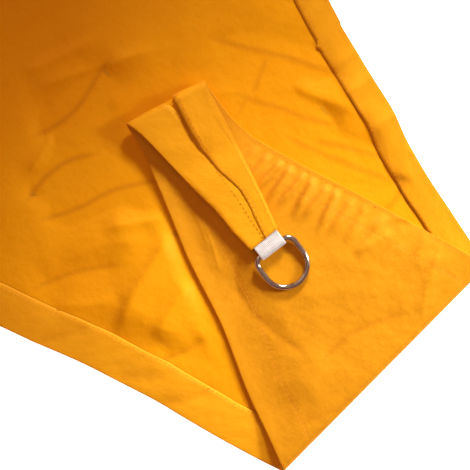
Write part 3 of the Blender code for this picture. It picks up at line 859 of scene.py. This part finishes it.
def row_steps(name, upper, count):
    """How many columns the triangles of each row step over."""
    if name != "a":
        return np.full(count, 2 if upper else HIDDEN_STEP)
    row = np.concatenate((ROWS_A, np.full(count - len(ROWS_A), 700)))
    starts, table = np.array(UPPER_STEPS if upper else LOWER_STEPS).T
    steps = table[np.searchsorted(starts, row, "right") - 1]
    steps[-SHARED_ROWS:] = np.maximum(steps[-SHARED_ROWS:], 2)
    return steps


def halved(quads):
    """Each four-cornered face as two triangles."""
    return np.vstack((quads[:, [0, 1, 2]], quads[:, [0, 2, 3]]))


def zipped(first, second, at_first, at_second):
    """Triangles between two rows of points that stand at different columns."""
    made, i, j = [], 0, 0
    while i < len(first) - 1 or j < len(second) - 1:
        if j == len(second) - 1 or (i < len(first) - 1 and at_first[i + 1] <= at_second[j + 1]):
            made.append((first[i], first[i + 1], second[j]))
            i += 1
        else:
            made.append((first[i], second[j + 1], second[j]))
            j += 1
    return np.array(made)


def face_triangles(numbers, steps):
    """One face of a half: the panel as its rows' steps say, then the bend and the hem."""
    kept = [np.unique([*range(0, HALF_COLUMNS, step), HALF_COLUMNS - 1]) for step in steps]
    changes = [0, *(np.flatnonzero(np.diff(steps)) + 1), len(numbers)]
    made = []
    for start, end in zip(changes[:-1], changes[1:]):
        made.append(halved(grid_quads(numbers[start:end][:, kept[start]])))
        if end < len(numbers):
            before, after = kept[end - 1], kept[end]
            made.append(zipped(numbers[end - 1, before], numbers[end, after], before, after))
    made.append(halved(grid_quads(numbers[:, HALF_COLUMNS - 1:])))
    return np.vstack(made)


# %% The whole sheet
def carried_values(part, name, hem_side, grid):
    """What one face of a half carries at its points, for the cloth's finish."""
    shape = part["height"].shape
    x, y = grid[..., 0] - FOLD_PLACE[0], grid[..., 1] - FOLD_PLACE[1]
    on_sail = np.ones((len(grid), 1), bool)
    if name == "a":
        on_sail[:len(ROWS_A), 0] = ROWS_A > BIG_FOLD_ROW
    # Painted shade along the crease valleys, on the sail or on its folded corner.
    worn = np.where(on_sail, painted_crease_shade(SAIL_STROKES, x, y), painted_crease_shade(CORNER_STROKES, x, y))
    doubled = np.zeros(shape)
    doubled[:, HALF_COLUMNS:] = 1
    # From the free edge is pushed out near the strap's tip, so the painted shade along the hems'
    # free edges fades where they meet.
    closed = 0.8 * ease(118, 84, part["from_tip"])
    return {"pattern": np.dstack((part["pattern"], np.zeros(shape))) * MM,
            "from_edge": part["from_edge"], "from_free": part["from_free"] + closed,
            "along": part["along"], "hem_side": np.full(shape, hem_side),
            "crease_shade": np.maximum(worn, part["worn"]), "doubled": doubled}


def sail_arrays(parts):
    """Points, triangles and carried values of the sheet, all halves in one array."""
    points, faces, carried, first = [], [], [], 0
    for (name, right), part in parts.items():
        numbers = []
        for hem_side, grid in zip((1, 0), faces_of_half(part, name)):
            carried.append(carried_values(part, name, hem_side, grid))
            numbers.append(first + np.arange(grid.size // 3).reshape(grid.shape[:2]))
            points.append(grid.reshape(-1, 3))
            first += grid.size // 3
        upper, lower = numbers
        half = np.vstack((
            face_triangles(upper, row_steps(name, True, len(upper))),
            face_triangles(lower, row_steps(name, False, len(lower)))[:, ::-1],
            halved(grid_quads(np.stack((lower[0], upper[0])))),
            halved(grid_quads(np.stack((upper[:, -1], lower[:, -1]), axis=1)))))
        faces.append(half if right else half[:, ::-1])
    fields = {key: np.concatenate([face[key].ravel() for face in carried]) for key in carried[0]}
    return np.vstack(points), np.vstack(faces), fields


points, faces, fields = sail_arrays(parts)
print("sheet:", len(points), "points,", len(faces), "triangles")
print("height range in mm:", points[:, 2].min().round(2), points[:, 2].max().round(2))

# %% [markdown]
# ## Orange coated cloth
#
# The cloth is a tight plain weave of polyester with a thin coating and a satin
# gloss. Its colour varies a little: soft patches from folding, fine mottling from
# the weave. Shade is painted in dark lines along crease valleys, beside puckers,
# along the hems' free edges and round folded edges.

# %% The cloth's finish
CLOTH_ORANGE = (0.90, 0.385, 0.003, 1)
CLOTH_DEEP = (0.85, 0.32, 0.002, 1)
CLOTH_REVERSE = (0.71, 0.297, 0.0085, 1)
CLOTH_DOUBLED = (0.87, 0.385, 0.0095, 1)
CLOTH_PALE = (0.90, 0.43, 0.020, 1)
# A dark orange for painted shade in creases, beside puckers, along hem edges and round folded
# edges.
CLOTH_PAINTED_SHADE = (0.46, 0.11, 0.003, 1)
WEAVE_PITCH = 0.9
STITCH_PITCH = 4.3


def cloth_finish():
    """Satin orange polyester with its weave, its mottling and the pull of its stitches."""
    finish = Finish("orange_cloth", Specular_IOR_Level=0.22, Specular_Tint=(1, 0.72, 0.35, 1))
    pattern = finish.place("pattern")
    patches = finish.noise(pattern, 5, 3, 0.55)
    mottle = finish.noise(pattern, 160, 3, 0.6)
    slubs = finish.noise(pattern, 60, stretch=(1, 9, 1))
    x, y, _ = finish.axes(pattern)
    turn = 2 * pi / (WEAVE_PITCH * MM)
    weave = (x * turn).sine() * (y * turn).sine()
    face = finish.mix(patches.ramp(0.35, 0.75), CLOTH_ORANGE, CLOTH_DEEP)
    reverse = finish.mix(finish.field("doubled"), CLOTH_REVERSE, CLOTH_DOUBLED)
    colour = finish.mix(finish.field("hem_side"), reverse, face)
    pale = mottle.ramp(0.45, 0.85) * 0.25 + slubs.ramp(0.55, 0.8) * 0.12
    colour = finish.mix(pale, colour, CLOTH_PALE)
    rough = 0.40 + 0.12 * mottle + 0.06 * slubs
    free = finish.field("from_free")
    # Painted shade: a dark line along each hem's free edge, on the hem side.
    slit_shade = (1 - free.size().ramp(0.2, 1.1)) * finish.field("hem_side")
    # Painted shade along every folded edge of the cloth.
    rim_shade = 1 - finish.field("from_edge").ramp(0.2, 1.8)
    # Painted shade along crease valleys and beside the strong puckers.
    worn = finish.field("crease_shade")
    colour = finish.mix(slit_shade * 0.6 + worn * 0.38 + rim_shade * 0.3, colour, CLOTH_PAINTED_SHADE)
    along = finish.field("along")
    seam = 1 - (free - 3.2).size().ramp(0.4, 3)
    pull = (along * (2 * pi / STITCH_PITCH)).sine() * seam
    crinkle = finish.noise(pattern, 420)
    crumple = finish.noise(pattern, 42, 4, 0.55)
    normal = finish.bump(crumple, 1.8, 1)
    normal = finish.bump(weave * 0.5 + crinkle * 0.8, 0.05, 0.6, Normal=normal)
    normal = finish.bump(pull * 0.4 - seam * 0.6, 0.4, 0.35, Normal=normal)
    return finish.surface(Base_Color=colour, Roughness=rough, Normal=normal)


cloth = cloth_finish()

# %% Write the sheet
sail = write_mesh("sail", points, faces, cloth, fields, merge=0.02)
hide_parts("sail_cloth")
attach(sail, "root")

# %% [markdown]
# ## Stitches
#
# Two rows of lockstitch hold the hem and show on both faces. Each stitch is a
# small pointed grain of thread, carried to its place by the same folding as the
# cloth.

# %% Shape of the stitches
STITCH_LENGTH = 3.1
STITCH_WIDTH = 0.55
SEAM_INSETS = (2.2, 4.4)
BORDER_INSET = 2.6
GRAIN_ALONG = np.array((-1, -0.45, 0.45, 1))
GRAIN_FAT = np.array((0, 1, 1, 0))
GRAIN_SIDES = 4


def seam_line(part, insets):
    """Flat points and heights of the front along a seam, inset from the hem's free edge."""
    free = part["from_free"][:, :HALF_COLUMNS]
    values = np.dstack((part["flat"], part["height"]))[:, :HALF_COLUMNS]
    line = np.array([at_length(*row) for row in zip(free, values, insets)])
    return line[:, :2], line[:, 2] - SHEET / 2


def grains(flat, height):
    """Grains along a line: stations by length, each a spindle about its own middle."""
    length = run_length(flat)
    middles = np.arange(STITCH_PITCH / 2, length[-1], STITCH_PITCH)
    at = middles[:, None] + GRAIN_ALONG * STITCH_LENGTH / 2
    centre = at_length(length, flat, at)
    run = at_length(length, flat, at + 0.5) - centre
    run = run / np.maximum(np.linalg.norm(run, axis=-1, keepdims=True), 1e-6)
    across = np.stack((-run[..., 1], run[..., 0]), axis=-1)
    turn = np.arange(GRAIN_SIDES) * 2 * pi / GRAIN_SIDES + pi / 4
    fat = GRAIN_FAT[:, None] * STITCH_WIDTH / 2
    off = across[:, :, None] * (fat * np.cos(turn))[..., None]
    up = np.interp(at, length, height)[:, :, None] + fat * np.sin(turn) * 0.7
    return place(centre[:, :, None] + off, up)


def grain_faces(count):
    """Triangles of each spindle: fans at its two points and a band between."""
    ring = np.arange(GRAIN_SIDES)
    after = (ring + 1) % GRAIN_SIDES
    b, c, d = (GRAIN_SIDES * k for k in (1, 2, 3))
    corners = ((0 * ring, b + after, b + ring), (b + ring, b + after, c + after),
               (b + ring, c + after, c + ring), (c + ring, c + after, 0 * ring + d))
    one = np.vstack([np.stack(corner, axis=-1) for corner in corners])
    return (one + (np.arange(count) * GRAIN_SIDES * 4)[:, None, None]).reshape(-1, 3)


# %% Rows of stitches
def thread_finish():
    """Orange polyester thread, a shade paler than the cloth."""
    finish = Finish("orange_thread", Specular_IOR_Level=0.4)
    fibres = finish.noise(finish.place(), 900)
    colour = finish.mix(fibres.ramp(0.3, 0.8), (0.78, 0.26, 0.008, 1), (0.88, 0.36, 0.02, 1))
    return finish.surface(Base_Color=colour, Roughness=0.5 + 0.2 * fibres)


all_grains = []
for (name, right), part in parts.items():
    hem_top = part["height"][:, -1] + SHEET / 2
    hem_width = part["from_free"][:, 0] + part["from_edge"][:, 0]
    seam_rows = [np.full(len(hem_width), inset) for inset in SEAM_INSETS]
    if SIDE_EDGES[name][right] == "ca":
        seam_rows.append(hem_width - BORDER_INSET)
    for insets in seam_rows:
        flat, front = seam_line(part, insets)
        all_grains += [grains(flat, front), grains(flat, hem_top + 0.05)]
stitches = np.concatenate(all_grains)
seams = write_mesh("hem_stitches", stitches, grain_faces(len(stitches)), thread_finish())
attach(seams, "root")
print("stitches:", len(stitches), "triangles:", len(seams.data.polygons))

# %% [markdown]
# ## Loops and rings
#
# The loop is 25 mm webbing, passed round the straight bar of the ring, with both
# tails sewn inside the strap. The ring is a round wire bent into a D. Both are
# sections swept along a path of arcs and straight runs.

# %% Where each loop and ring goes
POCKET_HEIGHT = 3.7
WEBBING = 25
WEBBING_THICK = 1.4
TAIL_GAP = 0.3
TAILS = {"a": 61.1, "b": 25, "c": 59.5}
WIRE = 5
RING_WIDTH = 43.7
RING_DEPTH = 42.7
RING_BEND = 8
BAR_FROM_TIP = 9.5
BAR_CLEARANCE = 0.5
RING_DROP = radians(2.8)
LOOP_TURN = radians(3)
LOOP_SLIDE = 0.9


class Fitting:
    """The place of one loop and ring: across the strap, out from its tip, and up."""

    def __init__(self, name):
        middles = CORNERS[name][2]
        from_tip = np.linalg.norm(middles - middles[0], axis=1)
        bottom = at_length(from_tip, middles, POCKET_DEPTH[name])
        level = np.full(2, (CLOTH + POCKET_HEIGHT) / 2)
        tip, inner = place(np.stack((middles[0], bottom)), level)
        turn, slide = (LOOP_TURN, LOOP_SLIDE) if name == "a" else (0, 0)
        angle = atan2(*(tip - inner)[1::-1]) + turn
        self.out = np.array([*direction(angle), 0])
        self.across = np.array([*direction(angle + pi / 2), 0])
        self.tip = tip + slide * self.across
        self.tail = TAILS[name]

    def points(self, *distances):
        """Points from their distances across, out from the tip, and up."""
        across, out, up = (d[..., None] for d in np.broadcast_arrays(*distances))
        return self.tip + across * self.across + out * self.out + up * np.array([0, 0, 1])


def arc(middle, radius, start, end, count):
    """Points round a middle, from one angle to another in half turns."""
    turn = pi * np.linspace(start, end, count)
    return np.array(middle) + radius * np.column_stack((np.cos(turn), np.sin(turn)))


def joined(arcs, counts):
    """A closed line: each arc, and a straight run of so many points to the next one."""
    line = []
    for this, following, count in zip(arcs, arcs[1:] + arcs[:1], counts):
        line += [this, np.linspace(this[-1], following[0], count + 2)[1:-1]]
    return np.vstack(line)


def swept(path, off, closed):
    """A section's points along a path in its own plane, standing off along its normal."""
    if closed:
        run = np.roll(path, -1, axis=0) - np.roll(path, 1, axis=0)
    else:
        run = np.gradient(path, axis=0)
    x, y = path.T[..., None]
    dx, dy = (run / np.linalg.norm(run, axis=1, keepdims=True)).T[..., None]
    return x - dy * off, y + dx * off


def tube(rings, closed):
    """Faces of a tube through equal rings of points, joined end to end or left open."""
    count, sides = rings.shape[:2]
    numbers = np.arange(count * sides).reshape(count, sides)
    if closed:
        numbers = np.vstack((numbers, numbers[:1]))
    return grid_quads(np.hstack((numbers, numbers[:, :1])))


# %% The webbing's shape
def loop_path(tail):
    """Side view of the webbing, out and up: a tail, a tangent, round the bar, and back."""
    radius = WIRE / 2 + BAR_CLEARANCE + WEBBING_THICK / 2
    half_gap = (WEBBING_THICK + TAIL_GAP) / 2
    reach = hypot(BAR_FROM_TIP, half_gap)
    touch = (acos(radius / reach) - atan2(half_gap, BAR_FROM_TIP)) / pi
    strip = np.array([(out, half_gap) for out in (*np.linspace(-tail, -2, 14), 0)])
    round_bar = arc((BAR_FROM_TIP, 0), radius, 1 - touch, touch - 1, 41)
    return np.vstack((strip, round_bar, (strip * (1, -1))[::-1]))


def webbing_mesh(fitting):
    """Points and faces of the loop, and the distances across and along it for its weave."""
    edge = WEBBING_THICK / 2
    half = WEBBING / 2 - edge
    selvedges = [arc((half, 0), edge, -0.5, 0.5, 7), arc((-half, 0), edge, 0.5, 1.5, 7)]
    across, off = joined(selvedges, (13, 13)).T
    path = loop_path(fitting.tail)
    rings = fitting.points(across, *swept(path, off, closed=False))
    weave = np.broadcast_arrays(across, run_length(path)[:, None], off)
    return rings, tube(rings, closed=False), np.stack(weave, axis=-1) * MM


# %% The ring's shape
def ring_path():
    """Middle line of the ring, across and out: bow, side, corner, bar, corner, side."""
    half = (RING_WIDTH - WIRE) / 2
    straight = half - RING_BEND
    return joined([arc((0, RING_DEPTH - WIRE - half), half, 0, 1, 73),
                   arc((-straight, RING_BEND), RING_BEND, 1, 1.5, 19),
                   arc((straight, RING_BEND), RING_BEND, -0.5, 0, 19)], (3, 10, 3))


def ring_mesh(fitting, sides=24):
    """Points and faces of the ring, tipped so that its bow rests on what is below."""
    turn = np.arange(sides) * 2 * pi / sides
    across, out = swept(ring_path(), -np.cos(turn) * WIRE / 2, closed=True)
    up = np.sin(turn) * WIRE / 2
    low_out = BAR_FROM_TIP + out * cos(RING_DROP) + up * sin(RING_DROP)
    rings = fitting.points(across, low_out, up * cos(RING_DROP) - out * sin(RING_DROP))
    return rings, tube(rings, closed=True)


# %% [markdown]
# ## White webbing and polished steel
#
# The webbing is a coarse white weave whose ribs run across it. The ring is
# polished steel wire, nearly a mirror, with faint draw lines.

# %% Finishes of the fittings
WEBBING_WHITE = (0.69, 0.71, 0.78, 1)
WEBBING_GREY = (0.59, 0.57, 0.61, 1)
# The warm brown of both steel colours is a painted reflection of the orange cloth round the ring.
STEEL_BRIGHT = (0.56, 0.48, 0.40, 1)
STEEL_DULL = (0.36, 0.29, 0.23, 1)


def webbing_finish():
    """White polyester webbing: ribs across it, crossed by warp yarns along it."""
    finish = Finish("white_webbing", Sheen_Weight=0.2, Specular_IOR_Level=0.35)
    weave = finish.place("weave")
    across, along, _ = finish.axes(weave)
    ribs = (along * (2 * pi / (1.6 * MM))).sine()
    yarns = (across * (2 * pi / (1.25 * MM))).sine()
    cloudy = finish.noise(weave, 140, 3, 0.6)
    colour = finish.mix(cloudy.ramp(0.35, 0.8), WEBBING_WHITE, WEBBING_GREY)
    normal = finish.bump(ribs * 0.5 + yarns * 0.35 + cloudy * 0.3, 0.25, 0.8)
    return finish.surface(Base_Color=colour, Roughness=0.62 + 0.2 * cloudy, Normal=normal)


def steel_finish():
    """Polished steel wire with faint scratches and a little haze."""
    finish = Finish("steel", Metallic=1)
    place_at = finish.place()
    haze = finish.noise(place_at, 220, 3, 0.6)
    scratches = finish.noise(place_at, 1400, 2, 0.7, stretch=(1, 0.12, 1))
    colour = finish.mix(haze.ramp(0.3, 0.8), STEEL_BRIGHT, STEEL_DULL)
    normal = finish.bump(scratches, 0.02, 0.3)
    return finish.surface(Base_Color=colour, Roughness=0.12 + 0.10 * haze, Normal=normal)


# %% Make the loops and rings
webbing = webbing_finish()
steel = steel_finish()
for name in "abc":
    fitting = Fitting(name)
    rows, tube_faces, weave = webbing_mesh(fitting)
    loop = write_mesh("loop_" + name, rows, tube_faces, webbing, {"weave": weave}, close=True)
    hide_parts("webbing_loop_" + name)
    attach(loop, "root")
    ring = write_mesh("ring_" + name, *ring_mesh(fitting), steel, close=True)
    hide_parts("d_ring_" + name)
    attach(ring, "root")
    print("corner", name, "has its strap's end at", np.round(fitting.tip, 1).tolist())

# %% [markdown]
# ## Ground, light and camera
#
# Two low lamps draw the creases, from the right and from beyond the corner. A
# warm sky is brightest overhead, and a weak lamp is over the far part of the sail.
# The camera looks straight down on the folded corner.

# %% The ground
FRAME_SPAN = PICTURE_SIDE * SQUARE
MIDDLE_FROM_FOLD = (0.66, 171.8)
PICTURE_MIDDLE = np.array((*(FOLD_PLACE + MIDDLE_FROM_FOLD), 0))


def ground_finish():
    """Matt white paper, lit a little from below like a light table."""
    finish = Finish("white_ground", Specular_IOR_Level=0.1, Emission_Strength=1,
                    Emission_Color=(1, 1, 1, 1))
    grain = finish.noise(finish.place(), 30, 3, 0.6)
    colour = finish.mix(grain, (0.90, 0.93, 0.96, 1), (0.87, 0.90, 0.93, 1))
    return finish.surface(Base_Color=colour, Roughness=0.9)


side = np.array((-9000, 9000))
corners = np.stack((*np.meshgrid(side, side), np.full((2, 2), -0.05)), axis=-1)
ground = write_mesh("ground", corners, grid_quads(np.arange(4).reshape(2, 2)), ground_finish())

# %% Lamps
def lamp(kind, name, power, colour, at, to, **settings):
    """A lamp that points from one place to another, both as right, up and high in mm."""
    light = bpy.data.lights.new(name, kind)
    light.energy = power
    light.color = colour
    for key, value in settings.items():
        setattr(light, key, value)
    made = placed(name, light)
    axes = np.array((PICTURE_RIGHT, PICTURE_UP, (0, 0, 1)))
    place_at, target = (PICTURE_MIDDLE + np.array(spot) @ axes for spot in (at, to))
    made.location = place_at * MM
    back = type(made.location)(((place_at - target) * MM).tolist())
    made.rotation_euler = back.to_track_quat("Z", "Y").to_euler()


lamp("SPOT", "window", 52, (1, 1, 0.86), (983, 200, 527), (40, -130, 0),
     spot_size=radians(36), spot_blend=1, shadow_soft_size=0.12)
lamp("SPOT", "door", 56, (1, 0.98, 0.84), (210, 910, 520), (80, -150, 0),
     spot_size=radians(33), spot_blend=1, shadow_soft_size=0.12)
lamp("AREA", "ceiling", 6, (1, 0.72, 0.52), (-950, 900, 1100), (-950, 900, 0),
     size=1)
print("lamps:", [light.name for light in bpy.data.lights])

# %% Sky
OVERHEAD = (0.95, 0.86, 0.76, 1)
AROUND = (0.62, 0.09, 0.02, 1)
AT_HORIZON = (2.1, 2.1, 2.1, 1)
world = bpy.data.worlds.new("studio")
bpy.context.scene.world = world
world.use_nodes = True
sky = Nodes(world.node_tree)
climb = sky.axes(sky.node("ShaderNodeTexCoord").outputs["Generated"])[2]
colour = sky.mix(climb.ramp(0.80, 0.97), AROUND, OVERHEAD)
colour = sky.mix(climb.ramp(0.20, 0.12), colour, AT_HORIZON)
sky.fill(world.node_tree.nodes["Background"], Color=colour, Strength=0.42)

# %% Colours as a camera's plain curve gives them
bpy.context.scene.view_settings.view_transform = "Standard"

# %% Camera
LENS = 150
SENSOR = 36
lens = bpy.data.cameras.new("camera")
lens.lens = LENS
lens.sensor_width = SENSOR
camera = placed("camera", lens)
camera.location = (PICTURE_MIDDLE + np.array((0, 0, LENS / SENSOR * FRAME_SPAN))) * MM
camera.rotation_euler = (0, 0, atan2(PICTURE_RIGHT[1], PICTURE_RIGHT[0]))
bpy.context.scene.camera = camera
